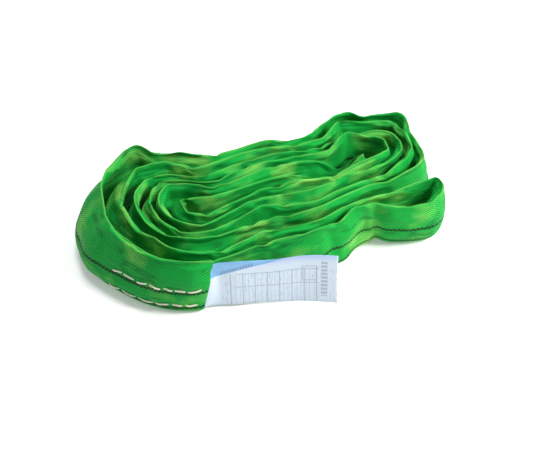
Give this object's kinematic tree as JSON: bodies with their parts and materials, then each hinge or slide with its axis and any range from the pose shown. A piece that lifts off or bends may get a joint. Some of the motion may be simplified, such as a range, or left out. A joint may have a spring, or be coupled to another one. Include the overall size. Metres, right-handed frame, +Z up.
{
  "type": "round sling",
  "caption": "Endless polyester round sling wound into a flat hank on its edge, with sewn overlap and a swinging label.",
  "frame": {"origin": "middle of the bottom of the wound hank, label included", "axes": "+X along the hank, away from the sewn overlap; +Y across it, away from the label; +Z up"},
  "size_m": [0.3546, 0.2142, 0.0591],
  "materials": {
    "sleeve_cloth": "woven polyester, matte with a slight sheen",
    "core_yarn": "raw polyester yarn",
    "tie_tape": "cloth tape",
    "seam_thread": "twisted thread",
    "label_cloth": "smooth coated label cloth"
  },
  "bodies": {
    "sling": {"sleeve": "sleeve_cloth", "core_hank": "core_yarn", "core_yarn_tie": "tie_tape", "seam_thread_upper": "seam_thread", "seam_thread_lower": "seam_thread", "label_tail": "label_cloth"},
    "label": {"label_flap": "label_cloth"}
  },
  "joints": [
    {"name": "label_swing", "type": "hinge", "parent": "sling", "child": "label", "pos_m": [-0.07755, -0.08024, 0.0295], "axis": [0, 0, -1], "range_deg": [-15, 100]}
  ]
}
